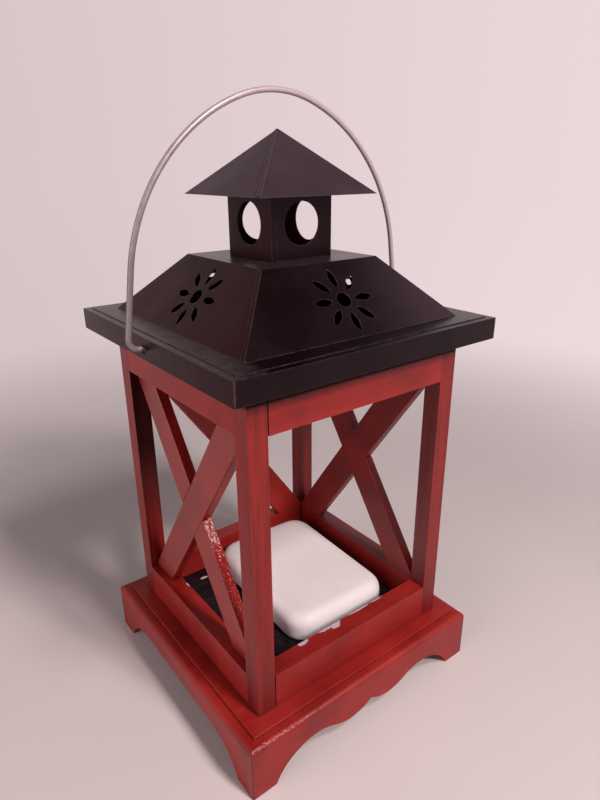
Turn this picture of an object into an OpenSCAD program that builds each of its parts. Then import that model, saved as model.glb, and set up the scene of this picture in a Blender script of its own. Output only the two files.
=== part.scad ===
// Candle lantern: a painted wooden cage on a scalloped base, a vented sheet-metal roof and a wire bail.
// Sizes are in millimetres. +Z is up, the open side faces -Y, and the origin is on the ground under the
// middle of the base.

/* [Base] */
// Width of the square base over its apron boards
base_w = 200; // [184:1:216]
// Height of the apron boards
apron_h = 39; // [34:0.5:46]
// Thickness of the apron boards
apron_t = 7; // [6:0.5:9]
// Radius along the top outer edge of the aprons
apron_round = 4; // [1:0.5:5]
// Length of one foot along the ground
foot_len = 17.8; // [13:0.1:23]
// Height of the arch beside each foot, and of the side aprons' straight lower edge
arch_h = 20; // [16:0.5:24]
// Radius of that arch
arch_r = 36; // [30:0.5:42]
// Height of the low point of the middle lobes of the front and back scallops
lobe_h = 12; // [9:0.5:14]
// Radius of the middle lobes
lobe_r = 32; // [26:0.5:38]
// Thickness of the plinth board
plinth_t = 12; // [9:0.5:16]
// Height of the plinth board's top above the aprons
plinth_step = 2.5; // [1:0.25:5]

/* [Cage] */
// Width of the square cage over its posts
cage_w = 165; // [150:1:176]
// Length of the posts
post_len = 233.3; // [210:0.1:260]
// Side of the square posts, and thickness of the rails
post_w = 13; // [11:0.5:16]
// Height of the bottom rails
bottom_rail_h = 25.5; // [18:0.5:34]
// Height of the top rails
top_rail_h = 41.8; // [30:0.1:50]
// Gap left open at the left end of the front and back rails, seen from outside
rail_gap = 0.8; // [0.2:0.1:1.2]
// Width of the diagonal braces
brace_w = 22.5; // [16:0.5:26]
// Thickness of the braces, which lie flush with the inside of the rails
brace_t = 7.5; // [5:0.5:10]
// Distance from a panel's middle to where a brace's centre line meets the rails
brace_foot = 58; // [48:0.5:62]
// Play in the halved joint where two braces cross
halving_gap = 0.1; // [0.05:0.05:0.3]

/* [Floor and candle] */
// Thickness of the floor plate
floor_t = 3; // [2:0.25:5]
// Gap between the floor plate and the rails
floor_gap = 0.4; // [0.2:0.1:1]
// Length of the candle block from front to back
candle_l = 122; // [90:1:126]
// Width of the candle block
candle_w = 88; // [60:1:96]
// Height of the candle block
candle_h = 22; // [20:0.5:40]
// Radius of the block's corners, seen from above
candle_corner = 17; // [11:0.5:24]
// Radius along the block's edges
candle_edge = 9; // [5:0.5:9.5]
// Where the block lies in its room between the side rails: -1 is hard left, 1 is hard right
candle_x = 0.67; // [-0.95:0.01:0.95]
// Where the block lies in its room between the front and back rails: -1 is hard forward, 1 is hard back
candle_y = 0.6; // [-0.95:0.01:0.95]
// How far the block is turned, in degrees
candle_turn = -2; // [-2:0.5:2]

/* [Roof] */
// Thickness of the sheet metal
sheet_t = 0.8; // [0.5:0.1:1.2]
// Width of the square eave tray
eave_w = 198; // [190:1:210]
// Height of the tray's turned-down skirt
skirt_h = 13.9; // [12:0.1:18]
// Width of the folded lip round the tray's top
lip_w = 4.75; // [3:0.25:6]
// Step from the tray's top down to that lip
lip_drop = 0.6; // [0.3:0.1:0.8]
// Width of the seam at the tray's corners, between the front or back skirt and the side skirt's edge
skirt_seam = 0.5; // [0.3:0.1:1]
// Depth of that seam
skirt_seam_depth = 0.4; // [0.2:0.05:0.4]
// Width of the square opening through the tray
tray_hole_w = 44; // [36:1:60]
// Width of the hip roof at its foot
hip_foot_w = 162.6; // [158:0.2:172]
// Width of the hip roof's flat top
hip_top_w = 87.4; // [76:0.2:96]
// Height of the hip roof
hip_rise = 37.5; // [34:0.5:44]
// Width of the flanges turned in at the foot of the hip roof and the cupola
flange_w = 4; // [2:0.25:4.25]
// Width of the lap seams at the front left corner
lap_w = 4; // [2:0.25:5]
// Width of the square cupola
cupola_w = 46.8; // [42:0.2:52]
// Height of the cupola that shows below the cap
cupola_show = 37.5; // [34:0.5:44]
// Diameter of the cupola's round vents
vent_d = 26; // [18:0.5:30]
// Height of the vents' middle above the hip roof
vent_up = 21; // [18:0.25:24]
// Width of the cap at its eave
cap_w = 86.6; // [76:0.2:96]
// Height of the cap
cap_rise = 37.3; // [30:0.1:44]

/* [Flower vents] */
// Number of petals in each flower
petals = 8; // [5:1:9]
// Distance from a flower's middle to its petal tips
flower_r = 21.75; // [18:0.25:22.5]
// Length of a petal
petal_l = 13; // [10:0.25:13.5]
// Width of a petal
petal_w = 4.8; // [3.6:0.1:5.2]
// Diameter of the round hole in the middle
eye_d = 9.8; // [6:0.2:12]
// Height of a flower's middle, up the slope from the roof's foot
flower_up = 26; // [25:0.25:28]

/* [Bail] */
// Diameter of the wire
wire_d = 3.5; // [2.5:0.1:4.5]
// Height of the crown's centre line above the pivot
bail_rise = 140.5; // [134:0.5:160]
// Gap between the skirt and the foot of the bail's legs
leg_gap = 6.75; // [5:0.25:8]
// How far the legs lean outwards to their feet, in degrees
leg_lean = 8.5; // [4:0.5:11]
// Radius of the crown's arc
crown_r = 78; // [74:1:90]
// Half of the angle that the crown's arc covers, in degrees
crown_half = 19; // [14:1:26]
// Radius of the bend from leg to pin, along the wire's centre line
bend_r = 6; // [4:0.5:8]
// How far the pin reaches inside the skirt's outer face
pin_reach = 9; // [6:0.5:12]
// Radial play of the pin in its hole
pin_play = 1.05; // [0.5:0.05:1.4]
// Play left above the pin, which hangs the lantern by the top of the hole
pin_top_play = 0.3; // [0.2:0.05:0.4]
// How much thicker than the wire the crown and the legs are, so that their ends close over the arcs
wire_swell = 0.02; // [0.02:0.01:0.1]
// How far the arcs run on into the crown and the legs
wire_lap = 0.3; // [0.2:0.05:0.3]

/* [Screws] */
// Shank diameter of the screws from the plinth board into the posts
base_screw_d = 4; // [3:0.25:5]
// Head diameter of those screws
base_screw_head = 8; // [6:0.25:10]
// Length of those screws
base_screw_l = 35; // [28:1:45]
// Shank diameter of the roof screws
roof_screw_d = 3.5; // [2.5:0.25:4]
// Head diameter of the roof screws
roof_screw_head = 6.5; // [5:0.25:7]
// Height of the roof screws' heads
roof_screw_head_h = 2; // [1.5:0.1:2.5]
// Length of the roof screws under the head
roof_screw_l = 16; // [12:1:25]
// Distance of the roof screws from the inner faces of the posts
roof_screw_in = 4; // [3.5:0.25:5]
// Room kept round the roof screws' heads under the hip roof
roof_screw_room = 0.5; // [0.3:0.05:0.5]
// Radial play of a screw in the wood or sheet that it passes through
screw_play = 0.05; // [0.02:0.01:0.1]

/* [Hidden] */
$fn = 64;

// Colours
red = [0.55, 0.10, 0.10];
black = [0.13, 0.11, 0.12];
floor_black = [0.07, 0.06, 0.07];
wax = [0.93, 0.91, 0.89];
zinc = [0.60, 0.58, 0.57];

// How far a cut runs past the solid that it opens
past = 1;

// Heights of the wooden parts
plinth_z = apron_h + plinth_step;
plinth_under_z = plinth_z - plinth_t;
floor_z = plinth_z + floor_t;
post_top_z = plinth_z + post_len;
opening_z0 = plinth_z + bottom_rail_h;
opening_z1 = post_top_z - top_rail_h;

// Plan sizes of the wooden parts
plinth_w = base_w - 2 * apron_t;
cage_in_w = cage_w - 2 * post_w;
post_at = (cage_w - post_w) / 2;

// Scallop of the aprons: an arch beside each foot, and in front and at the back a tangent lobe beside it
arch_x = base_w / 2 - foot_len - sqrt(arch_h * (2 * arch_r - arch_h));
arch_z = arch_h - arch_r;
lobe_fall = arch_h - lobe_h;
lobe_x = arch_x - sqrt(lobe_fall * (2 * (arch_r + lobe_r) - lobe_fall));
lobe_z = lobe_h + lobe_r;
tangent_share = arch_r / (arch_r + lobe_r);
tangent_x = arch_x + (lobe_x - arch_x) * tangent_share;
tangent_z = arch_z + (lobe_z - arch_z) * tangent_share;

// Room for the candle block to each side, as turned
candle_straight_w = candle_w - 2 * candle_corner;
candle_straight_l = candle_l - 2 * candle_corner;
candle_cos = cos(candle_turn);
candle_sin = abs(sin(candle_turn));
candle_over_x = candle_straight_w * candle_cos + candle_straight_l * candle_sin + 2 * candle_corner;
candle_over_y = candle_straight_l * candle_cos + candle_straight_w * candle_sin + 2 * candle_corner;
candle_room_x = (cage_in_w - candle_over_x) / 2;
candle_room_y = (cage_in_w - candle_over_y) / 2;

// Braces
panel_mid_z = (opening_z0 + opening_z1) / 2;
panel_h = opening_z1 - opening_z0;
brace_angle = atan2(panel_h / 2, brace_foot);
brace_l = norm([cage_in_w, panel_h]) + 2 * brace_w;

// Heights and slopes of the roof
tray_z = post_top_z + sheet_t;
lip_z = tray_z - lip_drop;
skirt_z = lip_z - skirt_h;
skirt_seam_x = eave_w / 2 - sheet_t - skirt_seam;
hip_top_z = tray_z + hip_rise;
hip_run = (hip_foot_w - hip_top_w) / 2;
hip_angle = atan2(hip_rise, hip_run);
hip_slope = norm([hip_rise, hip_run]);
cupola_hole_w = cupola_w - 2 * flange_w;
cap_z = hip_top_z + cupola_show;
cap_angle = atan2(cap_rise, cap_w / 2);
cap_slope = norm([cap_rise, cap_w / 2]);

// Petal outline: where two circles overlap
petal_r = (petal_l * petal_l + petal_w * petal_w) / (4 * petal_w);

// Bail: a crown arc, two side arcs tangent to it, leaning legs tangent to those, and pins turned in
pivot_z = (skirt_z + tray_z) / 2;
bend_x = eave_w / 2 + leg_gap + wire_d / 2 - bend_r;
bend_z = pivot_z + bend_r;
leg_x = bend_x + bend_r * cos(leg_lean);
leg_z = bend_z + bend_r * sin(leg_lean);
crown_z = pivot_z + bail_rise - crown_r;
leg_reach = leg_x * cos(leg_lean) + (leg_z - crown_z) * sin(leg_lean);
side_sin = sin(crown_half + leg_lean);
side_r = (leg_reach - crown_r * side_sin) / (1 - side_sin);
side_x = (crown_r - side_r) * sin(crown_half);
side_z = crown_z + (crown_r - side_r) * cos(crown_half);
leg_l = norm([side_x + side_r * cos(leg_lean) - leg_x, side_z + side_r * sin(leg_lean) - leg_z]);
side_lap = wire_lap / side_r * 180 / PI;
bend_lap = wire_lap / bend_r * 180 / PI;
pin_hole_d = wire_d + 2 * pin_play;
pin_hole_z = pivot_z - (pin_play - pin_top_play);

// Screws
roof_screw_at = cage_in_w / 2 + roof_screw_in;
base_screw_head_h = (base_screw_head - base_screw_d) / 2;

// Square block centred on the Z axis, from height z0 to height z1
module square_block(w, z0, z1) {
    translate([-w / 2, -w / 2, z0]) cube([w, w, z1 - z0]);
}

// Square pyramid or frustum, from width w0 at height z0 to width w1 at height z1
module frustum(w0, z0, w1, z1) {
    intersection_for(turn = [0, 90])
        rotate([0, 0, turn]) rotate([90, 0, 0])
            linear_extrude(max(w0, w1) + 2 * past, center = true)
                polygon([[-w0 / 2, z0], [w0 / 2, z0], [w1 / 2, z1], [-w1 / 2, z1]]);
}

// Copies the children to the four corners at (d, d) from the middle
module at_corners(d) {
    for (x = [-d, d], y = [-d, d]) translate([x, y, 0]) children();
}

// Right half of the space under an apron board, seen from outside; its middle is lobed or straight
module scallop_half(lobed) {
    translate([arch_x, arch_z]) circle(arch_r);
    if (!lobed) translate([0, -past]) square([arch_x, arch_h + past]);
    else difference() {
        polygon([[0, -past], [tangent_x, -past], [tangent_x, tangent_z], [0, arch_h]]);
        translate([lobe_x, lobe_z]) circle(lobe_r);
    }
}

// Section of an apron board, with its outer side at x = 0
module apron_section() {
    difference() {
        square([apron_t, apron_h]);
        translate([0, apron_h - apron_round]) square(apron_round);
    }
    intersection() {
        translate([apron_round, apron_h - apron_round]) circle(apron_round);
        square([apron_t, apron_h]);
    }
}

// Apron board, mitred at both ends; turn is 0 for the front one
module apron(turn, lobed) {
    color(red) rotate([0, 0, turn]) translate([0, -base_w / 2, 0]) intersection() {
        rotate([90, 0, 90]) linear_extrude(base_w, center = true) apron_section();
        linear_extrude(apron_h)
            polygon([[-base_w / 2, 0], [base_w / 2, 0], [plinth_w / 2, apron_t], [-plinth_w / 2, apron_t]]);
        rotate([90, 0, 0]) linear_extrude(2 * apron_t + 2 * past, center = true) difference() {
            translate([-base_w / 2, 0]) square([base_w, apron_h]);
            scallop_half(lobed);
            mirror([1, 0]) scallop_half(lobed);
        }
    }
}

// Plinth board, with countersunk holes for the screws into the posts
module plinth_board() {
    color(red) difference() {
        square_block(plinth_w, plinth_under_z, plinth_z);
        at_corners(post_at) base_screw(screw_play);
    }
}

// Countersunk screw that stands head down in the plinth board; play widens it into its hole
module base_screw(play) {
    shank_r = base_screw_d / 2 + play;
    translate([0, 0, plinth_under_z]) rotate_extrude()
        polygon([[0, 0], [shank_r + base_screw_head_h, 0], [shank_r, base_screw_head_h],
                 [shank_r, base_screw_l + play], [0, base_screw_l + play]]);
}

// The four screws under the posts
module base_screws() {
    color(zinc) at_corners(post_at) base_screw(0);
}

// Round-headed screw from the eave tray into a post top; play widens its shank into its hole
module roof_screw(play) {
    translate([0, 0, tray_z - roof_screw_l - play])
        cylinder(h = roof_screw_l + play, r = roof_screw_d / 2 + play);
    translate([0, 0, tray_z]) cylinder(h = roof_screw_head_h, d = roof_screw_head);
}

// The four screws that hold the eave tray
module roof_screws() {
    color(zinc) at_corners(roof_screw_at) roof_screw(0);
}

// Post at one corner; x and y are -1 or 1
module post(x, y) {
    color(red) difference() {
        translate([x * post_at, y * post_at, 0]) square_block(post_w, plinth_z, post_top_z);
        translate([x * post_at, y * post_at, 0]) base_screw(screw_play);
        translate([x * roof_screw_at, y * roof_screw_at, 0]) roof_screw(screw_play);
    }
}

// Rail between two posts, from height z0 to height z1; turn is 0 for the front one
module rail(turn, z0, z1) {
    gap = turn % 180 == 0 ? rail_gap : 0;
    color(red) rotate([0, 0, turn]) translate([gap - cage_in_w / 2, -cage_w / 2, z0])
        cube([cage_in_w - gap, post_w, z1 - z0]);
}

// Bottom rail, standing on the plinth board
module bottom_rail(turn) {
    rail(turn, plinth_z, opening_z0);
}

// Top rail, under the eave tray
module top_rail(turn) {
    rail(turn, opening_z1, post_top_z);
}

// Diagonal bar across a panel, rising to the left or, with lean -1, to the right
module brace_bar(lean, w, y0, y1) {
    translate([0, y0, panel_mid_z]) rotate([0, lean * brace_angle, 0])
        translate([-brace_l / 2, 0, -w / 2]) cube([brace_l, y1 - y0, w]);
}

// Brace, cut to the opening and halved where it crosses its partner; the outer one runs on outside
module brace(turn, lean, outer) {
    in_y = -cage_in_w / 2;
    out_y = in_y - brace_t;
    half_y = in_y - brace_t / 2;
    notch = brace_w + 2 * halving_gap;
    color(red) rotate([0, 0, turn]) difference() {
        intersection() {
            brace_bar(lean, brace_w, out_y, in_y);
            translate([-cage_in_w / 2, out_y, opening_z0]) cube([cage_in_w, brace_t, panel_h]);
        }
        if (outer) brace_bar(-lean, notch, half_y - halving_gap, in_y + past);
        else brace_bar(-lean, notch, out_y - past, half_y + halving_gap);
    }
}

// Floor plate, lying on the plinth board inside the bottom rails
module floor_plate() {
    color(floor_black) square_block(cage_in_w - 2 * floor_gap, plinth_z, floor_z);
}

// Section of the candle block, l long, with rounded edges
module candle_section(l) {
    for (x = [-1, 1], z = [candle_edge, candle_h - candle_edge])
        translate([x * (l / 2 - candle_edge), z]) circle(candle_edge);
    translate([-l / 2, candle_edge]) square([l, candle_h - 2 * candle_edge]);
    translate([candle_edge - l / 2, 0]) square([l - 2 * candle_edge, candle_h]);
}

// Loose block of candle wax, with rounded corners and edges
module candle_block() {
    place = [candle_x * candle_room_x, candle_y * candle_room_y, floor_z];
    color(wax) translate(place) rotate([0, 0, candle_turn]) {
        rotate([90, 0, 0]) linear_extrude(candle_straight_l, center = true) candle_section(candle_w);
        rotate([90, 0, 90]) linear_extrude(candle_straight_w, center = true) candle_section(candle_l);
        for (x = [-1, 1], y = [-1, 1])
            translate([x * candle_straight_w / 2, y * candle_straight_l / 2, 0])
                rotate_extrude() intersection() {
                    candle_section(2 * candle_corner);
                    square([candle_corner, candle_h]);
                }
    }
}

// Groove down one end of the front and back skirts, where they meet the side skirt's edge
module skirt_groove() {
    for (turn = [0, 180]) rotate([0, 0, turn]) translate([skirt_seam_x, -eave_w / 2 - past, skirt_z - past])
        cube([skirt_seam, skirt_seam_depth + past, lip_z - skirt_z + 2 * past]);
}

// Eave tray: a flat top, a step down to a folded lip, a skirt turned down and holes for the bail
module eave_tray() {
    color(black) difference() {
        union() {
            square_block(eave_w, skirt_z, lip_z);
            square_block(eave_w - 2 * lip_w, skirt_z, tray_z);
        }
        square_block(eave_w - 2 * sheet_t, skirt_z - past, lip_z - sheet_t);
        square_block(eave_w - 2 * (lip_w + sheet_t), skirt_z, tray_z - sheet_t);
        square_block(tray_hole_w, skirt_z, tray_z + past);
        skirt_groove();
        mirror([1, 0, 0]) skirt_groove();
        at_corners(roof_screw_at) roof_screw(screw_play);
        translate([0, 0, pin_hole_z]) rotate([0, 90, 0])
            cylinder(h = eave_w + 2 * past, d = pin_hole_d, center = true);
    }
}

// Petal of a flower vent, pointing along +X, cut square through the sheet
module petal() {
    translate([flower_r - petal_l / 2, 0, 0]) intersection_for(side = [-1, 1])
        translate([0, side * (petal_r - petal_w / 2), 0])
            cylinder(h = 2 * (sheet_t + past), r = petal_r, center = true);
}

// Flower vent: a round eye with petals round it
module flower() {
    cylinder(h = 2 * (sheet_t + past), d = eye_d, center = true);
    for (i = [0:petals - 1]) rotate([0, 0, i * 360 / petals]) petal();
}

// Lap seam on a face of a pyramid, along its right edge; x runs along the foot, y up the slope
module lap_seam(foot, top, slope) {
    function half(y) = foot / 2 - (foot - top) / 2 * y / slope;
    start = sheet_t;
    end = slope - sheet_t;
    left_end = min(end, slope * (foot - 2 * lap_w) / (foot - top));
    sunk = sheet_t / 2;
    translate([0, 0, -sunk]) linear_extrude(sunk + sheet_t)
        polygon([[half(start), start], [half(end), end],
                 [half(left_end) - lap_w, left_end], [half(start) - lap_w, start]]);
}

// Hip roof: four sloping faces with flower vents, a flat top and a flange turned in at the foot
module hip_roof() {
    wall = sheet_t / sin(hip_angle);
    step = sheet_t / tan(hip_angle);
    color(black) difference() {
        union() {
            frustum(hip_foot_w, tray_z, hip_top_w, hip_top_z);
            rotate([0, 0, -90]) translate([0, -hip_foot_w / 2, tray_z]) rotate([hip_angle, 0, 0])
                lap_seam(hip_foot_w, hip_top_w, hip_slope);
        }
        frustum(hip_foot_w - 2 * wall - 2 * step, tray_z + sheet_t,
                hip_top_w - 2 * wall + 2 * step, hip_top_z - sheet_t);
        square_block(hip_foot_w - 2 * flange_w, tray_z - past, tray_z + sheet_t + past);
        square_block(cupola_hole_w, tray_z, hip_top_z + past);
        at_corners(roof_screw_at) translate([0, 0, tray_z])
            cylinder(h = roof_screw_head_h + roof_screw_room, d = roof_screw_head + 2 * roof_screw_room);
        for (turn = [0:90:270]) rotate([0, 0, turn]) translate([0, -hip_foot_w / 2, tray_z])
            rotate([hip_angle, 0, 0]) translate([0, flower_up, 0]) flower();
    }
}

// Space under the cap's sheet
module cap_inside() {
    frustum(cap_w - 2 * sheet_t / sin(cap_angle), cap_z, 0, cap_z + cap_rise - sheet_t / cos(cap_angle));
}

// Cupola: a square tube with a round vent in each wall, cut at the top to the slope of the cap
module cupola() {
    color(black) difference() {
        union() {
            square_block(cupola_w, hip_top_z, cap_z);
            intersection() {
                square_block(cupola_w, hip_top_z, cap_z + cap_rise);
                cap_inside();
            }
            translate([-cupola_w / 2, -cupola_w / 2 - sheet_t, hip_top_z])
                cube([lap_w, 2 * sheet_t, cupola_show]);
        }
        square_block(cupola_w - 2 * sheet_t, hip_top_z + sheet_t, cap_z + cap_rise);
        square_block(cupola_hole_w, hip_top_z - past, hip_top_z + 2 * sheet_t);
        for (turn = [0, 90]) rotate([0, 0, turn]) translate([0, 0, hip_top_z + vent_up]) rotate([90, 0, 0])
            cylinder(h = cupola_w + 2 * sheet_t + 2 * past, d = vent_d, center = true);
    }
}

// Cap: a pyramid of folded sheet with a lap seam, open below
module cap() {
    color(black) {
        difference() {
            frustum(cap_w, cap_z, 0, cap_z + cap_rise);
            cap_inside();
        }
        rotate([0, 0, -90]) translate([0, -cap_w / 2, cap_z]) rotate([cap_angle, 0, 0])
            lap_seam(cap_w, 0, cap_slope);
    }
}

// Arc of wire in the XZ plane round (x, z), from one angle to another
module wire_arc(x, z, r, from, to, d = wire_d) {
    translate([x, 0, z]) rotate([90, 0, 0]) rotate([0, 0, from])
        rotate_extrude(angle = to - from) translate([r, 0]) circle(d = d);
}

// Right side of the bail: side arc, leg, bend and pin
module bail_side() {
    pin_end_x = eave_w / 2 - pin_reach;
    wire_arc(side_x, side_z, side_r, leg_lean - side_lap, 90 - crown_half + side_lap);
    translate([leg_x, 0, leg_z]) rotate([0, -leg_lean, 0]) cylinder(h = leg_l, d = wire_d + wire_swell);
    wire_arc(bend_x, bend_z, bend_r, -90, leg_lean + bend_lap);
    translate([pin_end_x, 0, pivot_z]) rotate([0, 90, 0]) cylinder(h = bend_x - pin_end_x, d = wire_d);
}

// Bail: one length of wire, arched over the cap and hooked into the skirt
module bail_handle() {
    color(zinc) {
        wire_arc(0, crown_z, crown_r, 90 - crown_half, 90 + crown_half, wire_d + wire_swell);
        bail_side();
        mirror([1, 0, 0]) bail_side();
    }
}

apron(0, true);  // apron_front
apron(90, false);  // apron_right
apron(180, true);  // apron_back
apron(270, false);  // apron_left
plinth_board();
base_screws();
post(-1, -1);  // post_front_left
post(1, -1);  // post_front_right
post(-1, 1);  // post_back_left
post(1, 1);  // post_back_right
bottom_rail(0);  // bottom_rail_front
bottom_rail(90);  // bottom_rail_right
bottom_rail(180);  // bottom_rail_back
bottom_rail(270);  // bottom_rail_left
top_rail(0);  // top_rail_front
top_rail(90);  // top_rail_right
top_rail(180);  // top_rail_back
top_rail(270);  // top_rail_left
brace(90, 1, true);  // brace_right_front_up
brace(90, -1, false);  // brace_right_back_up
brace(180, 1, true);  // brace_back_right_up
brace(180, -1, false);  // brace_back_left_up
brace(270, -1, true);  // brace_left_front_up
brace(270, 1, false);  // brace_left_back_up
floor_plate();
candle_block();
eave_tray();
roof_screws();
hip_roof();
cupola();
cap();
bail_handle();
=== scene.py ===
"""Candle lantern: finishes, wax block, studio stage and camera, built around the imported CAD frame."""
import math

import bmesh
import bpy
from bpy.props import FloatProperty, FloatVectorProperty, PointerProperty
from mathutils import Matrix, Vector, noise


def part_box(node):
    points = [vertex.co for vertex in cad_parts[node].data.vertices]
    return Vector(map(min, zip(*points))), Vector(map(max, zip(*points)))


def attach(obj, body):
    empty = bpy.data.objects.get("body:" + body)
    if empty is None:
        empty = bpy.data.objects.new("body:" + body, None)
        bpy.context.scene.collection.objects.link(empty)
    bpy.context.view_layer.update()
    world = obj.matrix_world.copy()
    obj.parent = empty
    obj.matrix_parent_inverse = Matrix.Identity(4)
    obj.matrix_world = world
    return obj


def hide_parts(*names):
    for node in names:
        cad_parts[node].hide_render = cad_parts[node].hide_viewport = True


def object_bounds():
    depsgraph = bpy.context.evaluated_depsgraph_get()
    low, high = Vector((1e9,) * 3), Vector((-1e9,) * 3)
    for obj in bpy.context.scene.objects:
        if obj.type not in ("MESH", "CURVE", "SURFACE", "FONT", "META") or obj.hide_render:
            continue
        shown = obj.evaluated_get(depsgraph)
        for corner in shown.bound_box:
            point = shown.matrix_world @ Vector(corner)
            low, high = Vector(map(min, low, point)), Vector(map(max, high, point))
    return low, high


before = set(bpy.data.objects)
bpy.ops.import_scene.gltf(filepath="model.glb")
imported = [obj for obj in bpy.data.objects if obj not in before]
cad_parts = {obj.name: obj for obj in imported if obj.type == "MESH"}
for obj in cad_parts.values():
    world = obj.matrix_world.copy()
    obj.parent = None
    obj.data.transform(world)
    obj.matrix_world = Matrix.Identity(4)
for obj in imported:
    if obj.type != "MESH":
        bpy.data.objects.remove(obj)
CAD_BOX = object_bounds()

bl_info = {
    "name": "Candle lantern",
    "version": (1, 0, 0),
    "blender": (4, 5, 0),
    "location": "View3D > Sidebar > Lantern",
    "description": "Finishes and stage for a wooden candle lantern with a sheet-metal roof",
    "category": "Add Mesh",
}

MM = 0.001
PER_M = 1000.0
ACROSS = (1.0, 0.0, 0.0)
DEEP = (0.0, 1.0, 0.0)
UPRIGHT = (0.0, 0.0, 1.0)
LEFTWARD = (-1.0, 0.0, 0.0)

# Slope of the braces: half the opening's height over the run from the panel's middle
BRACE_RISE = 83.0
BRACE_RUN = 58.0
BRACE_UP = BRACE_RISE / math.hypot(BRACE_RISE, BRACE_RUN)
BRACE_ALONG = BRACE_RUN / math.hypot(BRACE_RISE, BRACE_RUN)

# Grain direction of each wooden node
GRAIN = {
    "plinth_board": ACROSS,
    "brace_left_front_up": (0.0, -BRACE_ALONG, BRACE_UP),
    "brace_left_back_up": (0.0, BRACE_ALONG, BRACE_UP),
    "brace_right_front_up": (0.0, -BRACE_ALONG, BRACE_UP),
    "brace_right_back_up": (0.0, BRACE_ALONG, BRACE_UP),
    "brace_back_left_up": (-BRACE_ALONG, 0.0, BRACE_UP),
    "brace_back_right_up": (BRACE_ALONG, 0.0, BRACE_UP),
}
for side in ("front", "back"):
    for end in ("left", "right"):
        GRAIN[f"post_{side}_{end}"] = UPRIGHT
for side, direction in (("front", ACROSS), ("back", ACROSS), ("left", DEEP), ("right", DEEP)):
    for board in ("apron", "bottom_rail", "top_rail"):
        GRAIN[f"{board}_{side}"] = direction

# Height of the skirt's lower edge, in mm, the edge of the painted shadow a little below it, and the
# skirt's top
EAVE_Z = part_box("eave_tray")[0][2] * PER_M
EAVE_SHADOW_EDGE = (EAVE_Z - 11.0, EAVE_Z - 8.0)
SKIRT_TOP = (EAVE_Z + 12.0, EAVE_Z + 13.0)

# Width of the rubbed strip at the eave tray's corners and half the blur of its edge, in mm
CORNER_STRIP = 0.85
STRIP_BLUR = 0.05

# Stretches over which the finishes change, in mm: heights from the ground, or places along x or y
POST_FRONT_Y = (20.0, -20.0)
POST_REAR_Y = (0.0, 40.0)
POST_LEFT_X = (60.0, -60.0)
# Painted shade high on the rear posts
POST_SHADE_Z = (110.0, 180.0)
# Darker towards the foot of the front posts
POST_FOOT_Z = (110.0, 60.0)
SAWN_END_Z = (158.0, 152.0)
SAWN_LUMPS_Z = (60.0, 125.0)
SAWN_SCATTER_Z = (108.0, 144.0)
MOULDING_X = (-25.0, -70.0)
# Front band of the tray with no painted sheen
TRAY_FRONT_Y = (0.0, -40.0)
HIP_RIGHT_X = (0.0, 75.0)
# Painted light on the wire: paler to the right and towards the top
WIRE_X = (-90.0, 90.0)
WIRE_Z = (290.0, 370.0)
# Painted light on the wax: brighter towards the back
WAX_REAR_Y = (-25.0, 45.0)

# Depths under the aprons' upper edge and in from their corners, in mm
MOULDING_DROP = (5.0, 3.0)
MITRE_DROP = (3.0, 6.0)
MITRE_INSET = (0.9, 0.4)

# Distances in from the hip roof's foot, in mm: the dusting and painted sheen on the tray end there, and
# the shade starts
SHEEN_INSET = (-2.0, 6.0)
SHADE_INSET = (0.5, 1.5)

# Edges of the chips and flecks: size of their notches in mm, and how far these reach in
NOTCH = 2.2
NOTCH_REACH = 2.2

# Painted shade in the corners, and at the back less of it and a negative dullness that paints the pieces
# brighter, as painted light
CORNER_SHADE = 0.8
REAR_CORNER_SHADE = 0.2
REAR_PAINTED_LIGHT = -0.12

# Patches where the red paint has chipped: middle and half size along x and y, in mm
FRONT_CHIPS = (
    (-38.0, -70.5, 4.5, 2.2),
    (-15.0, -69.5, 11.0, 2.2),
    (-9.5, -71.5, 4.5, 2.6),
    (14.0, -69.5, 11.0, 1.4),
    (31.0, -69.5, 6.0, 1.2),
)
LEFT_CHIPS = ((-69.5, 31.8, 1.4, 2.5),)
FLOOR_FLECKS = ((-43.0, 58.0, 3.4, 1.5), (-38.0, 55.5, 1.4, 0.8), (-50.0, 20.0, 0.7, 0.7))


def colour_prop(name, description, default):
    """Colour property, in scene-linear red, green and blue."""
    return FloatVectorProperty(name=name, description=description, default=default,
                               subtype="COLOR", size=3, min=0.0, max=1.0)


def length_prop(name, description, default):
    """Length property, in metres."""
    return FloatProperty(name=name, description=description, default=default,
                         unit="LENGTH", precision=5)


def angle_prop(name, description, degrees):
    """Angle property, given in degrees."""
    return FloatProperty(name=name, description=description, default=math.radians(degrees),
                         subtype="ANGLE")


def direction_prop(name, description, default):
    """Direction property, seen from the object."""
    return FloatVectorProperty(name=name, description=description, default=default,
                               subtype="DIRECTION", size=3)


def power_prop(name, description, default):
    """Power property, in watts."""
    return FloatProperty(name=name, description=description, default=default, unit="POWER")


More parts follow.
